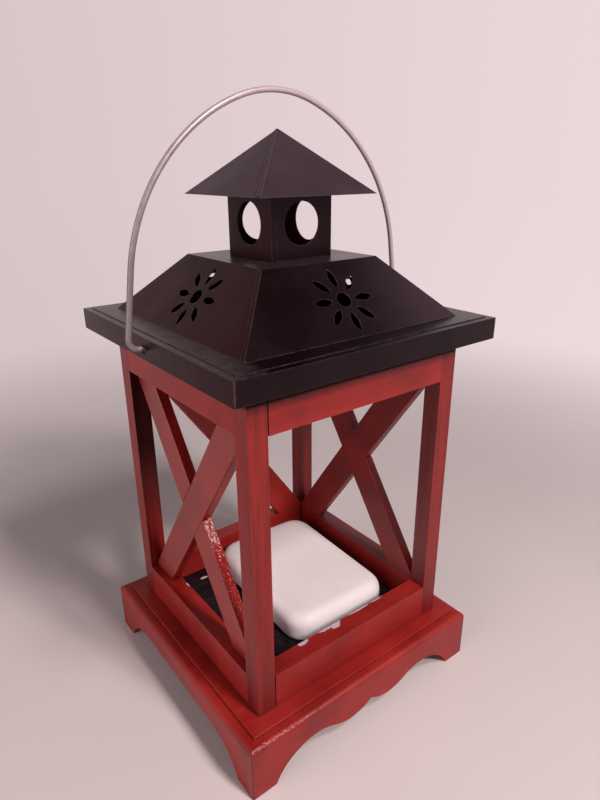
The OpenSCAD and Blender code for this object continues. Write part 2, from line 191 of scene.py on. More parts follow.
class LanternPaint(bpy.types.PropertyGroup):
    """Red paint on the wood."""
    deep: colour_prop("Deep red", "Paint where it lies thick in the grain", (0.135, 0.0055, 0.0045))
    middle: colour_prop("Middle red", "Most of the paint", (0.24, 0.0105, 0.0080))
    bright: colour_prop("Bright red", "Paint where it lies thin", (0.33, 0.019, 0.0135))
    # Edge colour: wear along the edges, and on the braces also painted highlights along the arrises
    wear_and_highlight: colour_prop("Worn red", "Paint rubbed along the edges", (0.40, 0.055, 0.042))
    # Colour of dark joints and of the darker feet of the front posts, and of painted shade in the corners
    grime_and_shade: colour_prop("Grime", "Dirt in the corners and joints", (0.045, 0.006, 0.007))
    # Painted shadow: black under the skirt and high on the rear posts' inward faces
    shade_black: colour_prop("Soot", "Soot on the wood behind the skirt", (0.010, 0.0015, 0.002))
    # Painted grey sheen and shade on inward faces of the front posts and right braces, and dusting on the
    # right bottom rail's top
    grey_sheen_and_dust: colour_prop("Film", "Greyish film on the faces that look inwards", (0.12, 0.060, 0.063))
    chip: colour_prop("Chips", "Pale ground where the paint has come off", (0.50, 0.38, 0.45))
    arris: length_prop("Arris", "Rounding along the edges of the base", 0.8 * MM)
    frame_arris: length_prop("Frame arris", "Rounding along the edges of posts and rails", 0.35 * MM)
    brace_arris: length_prop("Brace arris", "Rounding along the edges of the braces", 0.7 * MM)


class LanternMetal(bpy.types.PropertyGroup):
    """Black sheet of the roof, wire and screws."""
    dark: colour_prop("Black", "Paint on the sheet metal", (0.0030, 0.0008, 0.0012))
    pale: colour_prop("Thin black", "Paint on the sheet where it is thin", (0.0062, 0.0024, 0.0032))
    # Painted reflected light: a reddish black on the sheet's faces that look left
    lit_from_left: colour_prop("Ruddy black", "Paint on the faces that look left", (0.018, 0.003, 0.004))
    faded: colour_prop("Faded black", "Paint that has faded, as on the cap", (0.047, 0.029, 0.038))
    # Edge colour: rubbing on folds and cut edges, with painted highlights along the folds
    rubbed_and_highlit: colour_prop("Rubbed edge", "Folds and cut edges of the sheet", (0.078, 0.052, 0.056))
    # Dusting with painted sheen on faces that look up; the tray's front band beside the hip has none
    dust_and_sheen: colour_prop("Dust", "Dust on faces that look up", (0.036, 0.023, 0.027))
    # The wire is painted paler to the right and towards the top, as painted light
    zinc_dark: colour_prop("Dull zinc", "Darker zinc on the wire", (0.185, 0.147, 0.151))
    zinc_pale: colour_prop("Bright zinc", "Brighter zinc on the wire", (0.44, 0.353, 0.364))
    fold: length_prop("Fold", "Rounding along the folds of the sheet", 0.25 * MM)


class LanternInside(bpy.types.PropertyGroup):
    """Floor plate and wax block."""
    floor: colour_prop("Floor", "Black of the floor plate", (0.0065, 0.0035, 0.005))
    scuff: colour_prop("Scuffs", "Paler scuffs on the floor plate", (0.026, 0.017, 0.022))
    fleck: colour_prop("Flecks", "Spilt flecks on the floor plate", (0.62, 0.50, 0.52))
    wax: colour_prop("Wax", "White wax of the block", (0.755, 0.685, 0.68))
    # Painted light: wax painted brighter at the back and on the left, where little light falls
    wax_painted_light: colour_prop("Bright wax", "Wax where little light falls", (0.87, 0.78, 0.775))
    wax_shade: colour_prop("Wax shade", "Slightly duller wax in patches", (0.73, 0.657, 0.65))
    length: length_prop("Block length", "Wax block from front to back", 121.6 * MM)
    width: length_prop("Block width", "Wax block from left to right", 87.6 * MM)
    height: length_prop("Block height", "Wax block from floor to crown", 21.9 * MM)
    corner: length_prop("Block corner", "Radius of the block's corners, seen from above", 17 * MM)
    shoulder: length_prop("Block shoulder", "Radius along the block's upper edge", 10 * MM)
    heel: length_prop("Block heel", "Radius along the block's lower edge", 3 * MM)
    crown: length_prop("Block crown", "Rise of the top from its edge to its middle", 1.4 * MM)
    turn: angle_prop("Block turn", "How far the block is turned on the floor", -2.0)


class LanternStage(bpy.types.PropertyGroup):
    """Studio floor, light and camera."""
    floor: colour_prop("Floor", "Pale studio floor", (0.605, 0.530, 0.524))
    wall: colour_prop("Surroundings", "Pale studio surroundings at eye level", (0.75, 0.62, 0.64))
    ceiling: colour_prop("Ceiling", "Dimmer studio surroundings overhead", (0.13, 0.10, 0.105))
    brighter: direction_prop("Brighter side", "Brightest side of the surroundings", (0.79, -0.61, 0.0))
    ambient: colour_prop("Ambient", "Tint of the light from all round", (1.0, 0.92, 0.93))
    ambient_level: FloatProperty(name="Ambient level", default=0.15, min=0.0,
                                 description="Strength of the light from all round")
    key_from: direction_prop("Key direction", "Where the main lamp stands", (0.10, -0.78, 0.605))
    key_distance: length_prop("Key distance", "Main lamp from the object's middle", 1.5)
    key_size: length_prop("Key size", "Side of the main lamp", 0.24)
    key_watts: power_prop("Key power", "Power of the main lamp", 17.8)
    key_tint: colour_prop("Key tint", "Tint of the main lamp", (1.0, 0.93, 0.92))
    top_from: direction_prop("Top direction", "Where the upper lamp stands", (0.09, -0.60, 0.79))
    top_distance: length_prop("Top distance", "Upper lamp from the object's middle", 1.2)
    top_size: length_prop("Top size", "Side of the upper lamp", 0.16)
    top_watts: power_prop("Top power", "Power of the upper lamp", 6.0)
    top_tint: colour_prop("Top tint", "Tint of the upper lamp", (1.0, 0.93, 0.92))
    fill_from: direction_prop("Fill direction", "Where the soft lamp stands", (-0.96, -0.05, 0.28))
    fill_distance: length_prop("Fill distance", "Soft lamp from the object's middle", 1.6)
    fill_size: length_prop("Fill size", "Side of the soft lamp", 1.2)
    fill_watts: power_prop("Fill power", "Power of the soft lamp", 13.6)
    fill_tint: colour_prop("Fill tint", "Tint of the soft lamp", (1.0, 0.85, 0.87))
    azimuth: angle_prop("Camera azimuth", "Camera round the object, from the front", -37.62)
    elevation: angle_prop("Camera elevation", "Camera above the horizon", 21.28)
    roll: angle_prop("Camera roll", "Camera turned about its own axis", -0.40)
    distance: length_prop("Camera distance", "Camera from the point that it looks at", 0.4357)
    target: FloatVectorProperty(name="Camera target", description="Point that the camera looks at",
                                default=(0.0156, 0.0, 0.2082), size=3,
                                subtype="TRANSLATION", unit="LENGTH")
    focal: FloatProperty(name="Focal length", default=599.6, subtype="PIXEL",
                         description="Focal length in pixels of a picture 800 pixels high")


class Nodes:
    """A node tree being made, with short calls for the nodes that the finishes and the stage use."""

    def __init__(self, tree):
        self.tree = tree

    def join(self, socket, value):
        """Links a socket to the value if that is an output, and otherwise sets it."""
        if isinstance(value, bpy.types.NodeSocket):
            self.tree.links.new(value, socket)
        else:
            socket.default_value = value

    def add(self, kind, inputs=None, **settings):
        """Adds a node with these properties and inputs."""
        node = self.tree.nodes.new(kind)
        for key, value in settings.items():
            setattr(node, key, value)
        for key, value in (inputs or {}).items():
            self.join(node.inputs[key], value)
        return node

    def math(self, operation, a, b=0.0):
        """One arithmetic step."""
        return self.add("ShaderNodeMath", {0: a, 1: b}, operation=operation).outputs[0]

    def weighed(self, *terms):
        """Sum of values, each times its weight."""
        total = None
        for value, weight in terms:
            share = self.math("MULTIPLY", value, weight)
            total = share if total is None else self.math("ADD", total, share)
        return total

    def vector(self, operation, a, b):
        """One vector step that gives a vector."""
        return self.add("ShaderNodeVectorMath", {0: a, 1: b}, operation=operation).outputs["Vector"]

    def scaled(self, vector, factor):
        """A vector times a number."""
        node = self.add("ShaderNodeVectorMath", {0: vector, "Scale": factor}, operation="SCALE")
        return node.outputs["Vector"]

    def unit(self, vector):
        """A vector brought to length 1."""
        return self.add("ShaderNodeVectorMath", {0: vector}, operation="NORMALIZE").outputs["Vector"]

    def dot(self, a, b):
        """Dot product of two vectors."""
        return self.add("ShaderNodeVectorMath", {0: a, 1: b}, operation="DOT_PRODUCT").outputs["Value"]

    def place(self, shift=(0.0, 0.0, 0.0)):
        """Position on the object in millimetres, shifted to another part of the noise."""
        coords = self.add("ShaderNodeTexCoord").outputs["Object"]
        return self.vector("ADD", self.scaled(coords, PER_M), shift)

    def along(self, place, grain, squeeze):
        """Position squeezed along the grain, so that noise draws streaks there."""
        reach = self.math("MULTIPLY", self.dot(place, grain), squeeze - 1.0)
        return self.vector("ADD", place, self.scaled(grain, reach))

    def noise(self, place, size, detail=2.0, roughness=0.5, distortion=0.0):
        """Noise whose features are about size millimetres wide."""
        inputs = {"Vector": place, "Scale": 1.0 / size, "Detail": detail, "Roughness": roughness,
                  "Distortion": distortion}
        return self.add("ShaderNodeTexNoise", inputs).outputs[0]

    def spread(self, value, low, high, to_low=0.0, to_high=1.0):
        """Smooth step of a value from one range to another."""
        inputs = {0: value, 1: low, 2: high, 3: to_low, 4: to_high}
        return self.add("ShaderNodeMapRange", inputs, interpolation_type="SMOOTHSTEP").outputs[0]

    def ramp(self, value, *stops):
        """Colours at places between 0 and 1."""
        node = self.add("ShaderNodeValToRGB", {0: value})
        elements = node.color_ramp.elements
        for place, _ in stops[1:-1]:
            elements.new(place)
        for element, (place, colour) in zip(elements, stops):
            element.position = place
            element.color = (*colour, 1.0)
        return node.outputs[0]

    def blend(self, amount, a, b):
        """Mix of two colours."""
        inputs = {0: amount, 6: a if isinstance(a, bpy.types.NodeSocket) else (*a, 1.0),
                  7: b if isinstance(b, bpy.types.NodeSocket) else (*b, 1.0)}
        return self.add("ShaderNodeMix", inputs, data_type="RGBA").outputs[2]

    def edges(self, radius):
        """1 along the edges and 0 on the flats."""
        eased = self.add("ShaderNodeBevel", {"Radius": radius}, samples=4).outputs[0]
        flat = self.add("ShaderNodeNewGeometry").outputs["Normal"]
        return self.spread(self.dot(eased, flat), 0.995, 0.86)

    def corners(self, distance):
        """1 deep in a corner or joint and 0 in the open."""
        sky = self.add("ShaderNodeAmbientOcclusion", {"Distance": distance}, samples=6)
        return self.spread(sky.outputs["AO"], 0.62, 0.22)

    def facing(self, direction):
        """How squarely the surface faces a direction, from -1 to 1."""
        return self.dot(self.add("ShaderNodeNewGeometry").outputs["Normal"], direction)

    def beside(self, direction):
        """How squarely the surface faces a direction or its opposite, from 0 to 1."""
        return self.math("ABSOLUTE", self.facing(direction))

    def part(self, place, axis):
        """One coordinate of a place: X, Y or Z."""
        return self.add("ShaderNodeSeparateXYZ", {0: place}).outputs[axis]

    def aside(self, place, axis):
        """Distance from the middle plane along X or Y."""
        return self.math("ABSOLUTE", self.part(place, axis))

    def patches(self, place, spots):
        """1 inside ragged oval patches, given as middle and half size in x and y."""
        notches = self.math("SUBTRACT", self.noise(place, NOTCH, 3.0, 0.6), 0.5)
        tear = self.math("MULTIPLY", notches, NOTCH_REACH)
        total = None
        for x, y, half_x, half_y in spots:
            offset = self.vector("SUBTRACT", place, (x, y, 0.0))
            ratio = self.vector("MULTIPLY", offset, (1.0 / half_x, 1.0 / half_y, 0.0))
            inside = self.math("SUBTRACT", 1.0, self.dot(ratio, ratio))
            spot = self.spread(self.math("ADD", inside, tear), 0.0, 0.25)
            total = spot if total is None else self.math("MAXIMUM", total, spot)
        return total

    def inward(self, place):
        """1 on faces that look towards the upright axis and 0 on the others."""
        flat = self.vector("MULTIPLY", place, (-1.0, -1.0, 0.0))
        return self.spread(self.facing(self.unit(flat)), 0.2, 0.6)

    def facets(self, place, beads, under):
        """Normal that leans one way and is tilted at random from one bead to the next."""
        scale = 1.0 / beads["size"]
        cells = self.add("ShaderNodeTexVoronoi", {"Vector": place, "Scale": scale}).outputs["Color"]
        tilt = self.scaled(self.vector("SUBTRACT", cells, (0.5, 0.5, 0.5)), beads["tilt"])
        tilt = self.vector("ADD", tilt, beads["lean"])
        return self.unit(self.vector("ADD", under, self.scaled(tilt, beads["amount"])))

    def bump(self, height, depth, under=None):
        """Normal from a height of 0 to 1 that stands for depth metres."""
        inputs = {"Height": height, "Distance": depth, "Strength": 1.0}
        if under is not None:
            inputs["Normal"] = under
        return self.add("ShaderNodeBump", inputs).outputs[0]


class Finish(Nodes):
    """A material being made round its own shader."""

    def __init__(self, name):
        self.material = bpy.data.materials.new(name)
        self.material.use_nodes = True
        super().__init__(self.material.node_tree)
        self.shader = self.tree.nodes["Principled BSDF"]

    def surface(self, **inputs):
        """Sets the shader's own sockets; underscores in the names stand for spaces."""
        for key, value in inputs.items():
            self.join(self.shader.inputs[key.replace("_", " ")], value)


def red_paint(name, paint, grain, lumpy=None, chips=(), streaky=0.30, dull=0.0, rubbed_and_highlit=0.45,
              grey_sheen_and_dust=None, darkening=None, shade_black=None, shine=None, corner_shade=CORNER_SHADE):
    """Brushed red paint on wood: grain streaks, edges with wear and painted highlights, painted shade and
    sheen, dark joints and pale chips.
    """
    finish = Finish(name)
    place = finish.place((31.0, 17.0, 53.0))
    streaks = finish.noise(finish.along(place, grain, 0.05), 4.5, 4.0, 0.62, distortion=0.4)
    brush = finish.noise(finish.along(place, grain, 0.03), 0.9)
    clouds = finish.noise(place, 38.0, 3.0, 0.55)
    tone = finish.weighed((streaks, streaky), (brush, 0.10), (clouds, 0.90 - streaky))
    tone = finish.math("SUBTRACT", tone, dull)
    colour = finish.ramp(tone, (0.30, paint.deep), (0.50, paint.middle), (0.72, paint.bright))
    rub = finish.noise(place, 3.0, 3.0, 0.65)
    # Edges lighter from wear, with painted highlights where the edge amount is high, as on the braces
    wear_and_highlight = finish.math("MULTIPLY", finish.edges(1.2 * MM), finish.spread(rub, 0.42, 0.66, 0.0, rubbed_and_highlit))
    colour = finish.blend(wear_and_highlight, colour, paint.wear_and_highlight)
    # Painted shade deep in corners and joints
    colour = finish.blend(finish.math("MULTIPLY", finish.corners(5 * MM), corner_shade), colour, paint.grime_and_shade)
    # Painted grey sheen and shade on inward faces, and dusting on one rail's top, where asked
    if grey_sheen_and_dust is not None:
        colour = finish.blend(grey_sheen_and_dust(finish), colour, paint.grey_sheen_and_dust)
    # Darker paint where asked: dark mitre joints, and darker towards the front posts' feet
    if darkening is not None:
        colour = finish.blend(darkening(finish), colour, paint.grime_and_shade)
    # Painted shadow under the skirt, and painted shade where asked; it also takes the shine away
    spot = finish.place()
    in_shade = finish.spread(finish.part(spot, "Z"), *EAVE_SHADOW_EDGE)
    if shade_black is not None:
        in_shade = finish.math("MAXIMUM", in_shade, shade_black(finish))
    colour = finish.blend(in_shade, colour, paint.shade_black)
    if chips:
        colour = finish.blend(finish.patches(spot, chips), colour, paint.chip)
    roughness = finish.math("ADD", finish.weighed((streaks, 0.20), (clouds, 0.14)), 0.24)
    normal = finish.bump(finish.weighed((streaks, 0.7), (brush, 0.3)), 0.14 * MM)
    normal = finish.bump(finish.noise(place, 14.0), 0.35 * MM, normal)
    if lumpy is not None:
        beads = lumpy(finish)
        normal = finish.facets(place, beads, normal)
        smoother = finish.math("MULTIPLY", beads["amount"], beads["gloss"])
        roughness = finish.math("SUBTRACT", roughness, smoother)
    polish = 0.35 if shine is None else shine(finish)
    specular = finish.spread(in_shade, 0.0, 1.0, polish, 0.05)
    finish.surface(Base_Color=colour, Roughness=roughness, Normal=normal, Specular_IOR_Level=specular)
    return finish.material


def black_sheet(name, metal, fade=0.0, bare=None, no_sheen=None, unlit=None, weathered=None):
    """Black painted sheet: painted reflected light on the left, faded patches, dusting and painted sheen,
    edge rubbing with painted highlights and painted shade inside.
    """
    finish = Finish(name)
    place = finish.place((11.0, 71.0, 5.0))
    clouds = finish.noise(place, 34.0)
    fine = finish.noise(place, 3.0, 3.0, 0.6)
    colour = finish.ramp(clouds, (0.36, metal.dark), (0.68, metal.pale))
    # Painted reflected light: faces that look left are painted reddish
    left = finish.spread(finish.facing(LEFTWARD), 0.3, 0.8)
    colour = finish.blend(left, colour, metal.lit_from_left)
    colour = finish.blend(finish.spread(clouds, 0.2, 0.8, 0.7 * fade, fade), colour, metal.faded)
    if weathered is not None:
        colour = finish.blend(weathered(finish), colour, metal.faded)
    # Dusting with painted sheen on faces that look up, taken away where asked
    dust_and_sheen_amount = finish.spread(finish.facing(UPRIGHT), 0.85, 1.0, 0.0, 0.9)
    dust_and_sheen_amount = finish.math("MULTIPLY", dust_and_sheen_amount, finish.spread(fine, 0.30, 0.72, 0.3, 1.0))
    if no_sheen is not None:
        dust_and_sheen_amount = finish.math("MULTIPLY", dust_and_sheen_amount, finish.math("SUBTRACT", 1.0, no_sheen(finish)))
    colour = finish.blend(dust_and_sheen_amount, colour, metal.dust_and_sheen)
    # Rubbing on folds and edges, which also paints highlights along the folds
    wear_and_highlight = finish.math("MULTIPLY", finish.edges(0.7 * MM), finish.spread(fine, 0.34, 0.62, 0.15, 0.9))
    if bare is not None:
        strips = finish.math("MULTIPLY", bare(finish), finish.spread(fine, 0.2, 0.6, 0.4, 0.9))
        wear_and_highlight = finish.math("MAXIMUM", wear_and_highlight, strips)
    colour = finish.blend(wear_and_highlight, colour, metal.rubbed_and_highlit)
    specular = finish.spread(left, 0.0, 1.0, 0.17, 0.11)
    if unlit is not None:
        deep = unlit(finish)
        colour = finish.blend(deep, colour, metal.dark)
        specular = finish.math("MULTIPLY", finish.math("SUBTRACT", 1.0, deep), specular)
    roughness = finish.math("ADD", finish.math("MULTIPLY", clouds, 0.16), 0.20)
    normal = finish.bump(finish.noise(place, 0.9), 0.010 * MM)
    normal = finish.bump(finish.noise(place, 30.0, 1.0), 0.5 * MM, normal)
    finish.surface(Base_Color=colour, Roughness=roughness, Normal=normal, Specular_IOR_Level=specular)
    finish.surface(Specular_Tint=(1.0, 0.66, 0.73, 1.0))
    return finish.material


def zinc(name, metal, size, lit_right=0.0, lit_top=0.0):
    """Dull zinc with darker spots and painted light: paler towards the right and towards the top."""
    finish = Finish(name)
    place = finish.place((3.0, 9.0, 27.0))
    spots = finish.noise(place, size, 1.0)
    tone = finish.math("MULTIPLY", spots, 1.0 - lit_right)
    # Painted light: paler towards the right and towards the top
    side = finish.spread(finish.part(place, "X"), *WIRE_X, 0.0, lit_right)
    high = finish.spread(finish.part(finish.place(), "Z"), *WIRE_Z, 0.0, lit_top)
    tone = finish.math("ADD", finish.math("ADD", tone, side), high)
    colour = finish.ramp(tone, (0.25, metal.zinc_dark), (0.75, metal.zinc_pale))
    roughness = finish.math("ADD", finish.math("MULTIPLY", spots, 0.10), 0.34)
    finish.surface(Base_Color=colour, Roughness=roughness, Metallic=0.25, Specular_IOR_Level=0.35)
    return finish.material


def floor_black(name, inside):
    """Black floor plate with scuffs and a few pale flecks."""
    finish = Finish(name)
    place = finish.place((7.0, 3.0, 19.0))
    clouds = finish.noise(place, 12.0, 5.0, 0.68)
    fine = finish.noise(place, 1.6, 3.0, 0.6)
    colour = finish.blend(finish.spread(clouds, 0.46, 0.74, 0.0, 0.8), inside.floor, inside.scuff)
    colour = finish.blend(finish.patches(finish.place(), FLOOR_FLECKS), colour, inside.fleck)
    roughness = finish.math("ADD", finish.math("MULTIPLY", clouds, 0.30), 0.34)
    normal = finish.bump(fine, 0.06 * MM)
    finish.surface(Base_Color=colour, Roughness=roughness, Normal=normal, Specular_IOR_Level=0.2)
    return finish.material


def white_wax(name, inside):
    """White wax: a little cloudy, painted brighter at the back and left as painted light, with fine
    specks and a satin skin.
    """
    finish = Finish(name)
    place = finish.place((23.0, 41.0, 2.0))
    clouds = finish.noise(place, 22.0, 4.0, 0.6)
    specks = finish.noise(place, 0.8, roughness=0.6)
    colour = finish.ramp(clouds, (0.30, inside.wax_shade), (0.62, inside.wax))
    colour = finish.blend(finish.spread(specks, 0.70, 0.80, 0.0, 0.25), colour, inside.wax_shade)
    # Painted light: brighter at the back and on the left, where little light falls
    brightened = finish.spread(finish.part(finish.place(), "Y"), *WAX_REAR_Y)
    brightened = finish.math("MAXIMUM", brightened, finish.spread(finish.facing(LEFTWARD), 0.1, 0.8))
    colour = finish.blend(brightened, colour, inside.wax_painted_light)
    roughness = finish.math("ADD", finish.math("MULTIPLY", clouds, 0.16), 0.36)
    normal = finish.bump(specks, 0.03 * MM)
    normal = finish.bump(finish.noise(place, 9.0), 0.10 * MM, normal)
    finish.surface(Base_Color=colour, Roughness=roughness, Normal=normal, Specular_IOR_Level=0.25)
    finish.surface(Subsurface_Weight=0.25, Subsurface_Scale=0.005)
    return finish.material


def in_from(edge, insets):
    """Places that lie these distances in from an edge."""
    return [edge - inset for inset in insets]


def dress(node, material):
    """Gives a CAD node its finish."""
    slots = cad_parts[node].data.materials
    slots.clear()
    slots.append(material)


def ease(node, width, segments=3):
    """Rounds the sharp edges of a CAD node."""
    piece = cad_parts[node]
    weld = piece.modifiers.new("weld", "WELD")
    weld.merge_threshold = 0.01 * MM
    bevel = piece.modifiers.new("arris", "BEVEL")
    bevel.width = width
    bevel.segments = segments
    bevel.limit_method = "ANGLE"
    bevel.angle_limit = math.radians(30)
    piece.modifiers.new("shading", "WEIGHTED_NORMAL")


class LANTERN_OT_base(bpy.types.Operator):
    """Paints the apron boards and the plinth board"""
    bl_idname = "lantern.base"
    bl_label = "Paint the base"

    def execute(self, context):
        paint = context.scene.lantern_paint
        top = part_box("apron_front")[1][2] * PER_M
        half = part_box("apron_front")[1][0] * PER_M

        def moulded_edge(finish):
            place = finish.place()
            high = finish.spread(finish.part(place, "Z"), *in_from(top, MOULDING_DROP))
            left = finish.spread(finish.part(place, "X"), *MOULDING_X)
            amount = finish.math("MULTIPLY", high, left)
            return {"amount": amount, "size": 0.7, "tilt": 0.30, "lean": (0.0, 0.0, 0.0), "gloss": 0.05}

        def mitres(finish):
            place = finish.place()
            out = finish.math("MINIMUM", finish.aside(place, "X"), finish.aside(place, "Y"))
            low = finish.spread(finish.part(place, "Z"), *in_from(top, MITRE_DROP), 0.0, 0.85)
            near_corner = finish.spread(out, *in_from(half, MITRE_INSET))
            return finish.math("MULTIPLY", low, near_corner)

        for node in ("apron_front", "apron_back", "apron_left", "apron_right"):
            lumpy = moulded_edge if node == "apron_front" else None
            dress(node, red_paint(f"red_{node}", paint, GRAIN[node], lumpy, rubbed_and_highlit=0.15, darkening=mitres))
            ease(node, paint.arris)
        dress("plinth_board", red_paint("red_plinth_board", paint, GRAIN["plinth_board"], rubbed_and_highlit=0.0))
        ease("plinth_board", paint.frame_arris)
        return {"FINISHED"}


class LANTERN_OT_posts(bpy.types.Operator):
    """Paints the four posts"""
    bl_idname = "lantern.posts"
    bl_label = "Paint the posts"

    def execute(self, context):
        paint = context.scene.lantern_paint

        # Painted grey sheen and shade on the front posts' inward faces
        def grey_sheen_and_dust(finish):
            place = finish.place()
            front = finish.spread(finish.part(place, "Y"), *POST_FRONT_Y, 0.0, 0.35)
            return finish.math("MULTIPLY", finish.inward(place), front)

        # Painted shade high on the rear posts' inward faces
        def rear_post_shade(finish):
            place = finish.place()
            rear = finish.spread(finish.part(place, "Y"), *POST_REAR_Y)
            left = finish.spread(finish.part(place, "X"), *POST_LEFT_X, 0.3, 0.85)
            high = finish.spread(finish.part(place, "Z"), *POST_SHADE_Z)
            amount = finish.math("MULTIPLY", finish.math("MULTIPLY", rear, left), high)
            return finish.math("MULTIPLY", finish.inward(place), amount)

        # Darker towards the foot of the front posts
        def darker_foot(finish):
            place = finish.place()
            front = finish.spread(finish.part(place, "Y"), *POST_FRONT_Y)
            low = finish.spread(finish.part(place, "Z"), *POST_FOOT_Z, 0.0, 0.4)
            return finish.math("MULTIPLY", front, low)

        material = red_paint("red_posts", paint, UPRIGHT, streaky=0.72, dull=0.075, grey_sheen_and_dust=grey_sheen_and_dust,
                             darkening=darker_foot, shade_black=rear_post_shade)
        for node in GRAIN:
            if node.startswith("post_"):
                dress(node, material)
                ease(node, paint.frame_arris)
        return {"FINISHED"}


class LANTERN_OT_rails(bpy.types.Operator):
    """Paints the rails, with the chips on the bottom ones"""
    bl_idname = "lantern.rails"
    bl_label = "Paint the rails"

    def execute(self, context):
        paint = context.scene.lantern_paint
        chips = {"bottom_rail_front": FRONT_CHIPS, "bottom_rail_left": LEFT_CHIPS}

        def dusty_top(finish):
            return finish.spread(finish.facing(UPRIGHT), 0.7, 0.95, 0.0, 0.45)

        for node, grain in GRAIN.items():
            if "_rail_" in node:
                grey_sheen_and_dust = dusty_top if node == "bottom_rail_right" else None
                # The back rail gets less painted corner shade and is painted brighter, as painted light
                rear = node == "bottom_rail_back"
                material = red_paint(f"red_{node}", paint, grain, chips=chips.get(node, ()), grey_sheen_and_dust=grey_sheen_and_dust,
                                     dull=REAR_PAINTED_LIGHT if rear else 0.0,
                                     corner_shade=REAR_CORNER_SHADE if rear else CORNER_SHADE)
                dress(node, material)
                ease(node, paint.frame_arris)
        return {"FINISHED"}


class LANTERN_OT_braces(bpy.types.Operator):
    """Paints the diagonal braces, one of them lumpy along its sawn side"""
    bl_idname = "lantern.braces"
    bl_label = "Paint the braces"

    def execute(self, context):
        paint = context.scene.lantern_paint
        sawn = (0.0, -BRACE_UP, BRACE_ALONG)

        def sawn_side(finish):
            height = finish.part(finish.place(), "Z")
            below = finish.spread(height, *SAWN_END_Z)
            amount = finish.math("MULTIPLY", below, finish.spread(height, *SAWN_LUMPS_Z, 0.3, 1.0))
            amount = finish.math("MULTIPLY", amount, finish.spread(finish.facing(sawn), 0.6, 0.9))
            tilt = finish.spread(height, *SAWN_SCATTER_Z, 2.0, 0.26)
            lean = (-0.07, 0.04, 0.05)
            return {"amount": amount, "size": 0.65, "tilt": tilt, "lean": lean, "gloss": 0.17}

        # Painted grey sheen and shade on the right braces' inward faces
        def inner_sheen(finish):
            return finish.math("MULTIPLY", finish.inward(finish.place()), 0.15)

        def outer_shine(finish):
            return finish.spread(finish.facing(LEFTWARD), 0.4, 0.9, 0.25, 0.8)

        # The back braces are painted brighter, as painted light
        dull = {"left": 0.0, "right": 0.05, "back": REAR_PAINTED_LIGHT}
        for node, grain in GRAIN.items():
            if node.startswith("brace_"):
                side = node.split("_")[1]
                lumpy = sawn_side if node == "brace_left_back_up" else None
                grey_sheen_and_dust = inner_sheen if side == "right" else None
                shine = outer_shine if side == "left" else None
                # Strong edge rubbing here also paints highlights along the braces' arrises
                material = red_paint(f"red_{node}", paint, grain, lumpy, dull=dull[side], rubbed_and_highlit=0.8,
                                     grey_sheen_and_dust=grey_sheen_and_dust, shine=shine,
                                     corner_shade=REAR_CORNER_SHADE if side == "back" else CORNER_SHADE)
                dress(node, material)
                ease(node, paint.brace_arris)
        return {"FINISHED"}


class LANTERN_OT_floor(bpy.types.Operator):
    """Finishes the black floor plate"""
    bl_idname = "lantern.floor"
    bl_label = "Finish the floor plate"

    def execute(self, context):
        dress("floor_plate", floor_black("black_floor", context.scene.lantern_inside))
        return {"FINISHED"}


# Steps along each rounding of the wax block, along each of its sides and across its crown
ARC_STEPS = 6
SIDE_STEPS = 14
CROWN_STEPS = 8

# Innermost ring of the crown: half its width and its corners' radius
CROWN_END = 1.0 * MM
LEAST_CORNER = 0.5 * MM

# Lumps in the wax: their height, how many lie in a metre, and the share of that height near the top
LUMP = 0.15 * MM
LUMPS_PER_M = 40.0
TOP_SHARE = 0.6


def rounded_ring(width, length, corner):
    """Points round a rectangle with rounded corners, the same number whatever its size."""
    half_x, half_y = width / 2 - corner, length / 2 - corner
    arcs = []
    for quarter, (side_x, side_y) in enumerate(((1, 1), (-1, 1), (-1, -1), (1, -1))):
        x, y = side_x * half_x, side_y * half_y
        angles = [math.radians(90 * (quarter + step / ARC_STEPS)) for step in range(ARC_STEPS + 1)]
        arcs.append([Vector((x + corner * math.cos(a), y + corner * math.sin(a))) for a in angles])
    ring = []
    for arc, following in zip(arcs, arcs[1:] + arcs[:1]):
        ring += arc
        ring += [arc[-1].lerp(following[0], step / SIDE_STEPS) for step in range(1, SIDE_STEPS)]
    return ring


def wax_profile(inside):
    """Inset and height of each ring of the block, from its underside to the edge of its crown."""
    arc = [math.radians(90 * step / ARC_STEPS) for step in range(ARC_STEPS + 1)]
    edge_z = inside.height - inside.crown
    profile = []
    for a in arc:
        profile.append((inside.heel * (1 - math.sin(a)), inside.heel * (1 - math.cos(a))))
    for a in arc:
        below_edge = inside.shoulder * (1 - math.sin(a))
        profile.append((inside.shoulder * (1 - math.cos(a)), edge_z - below_edge))
    return profile


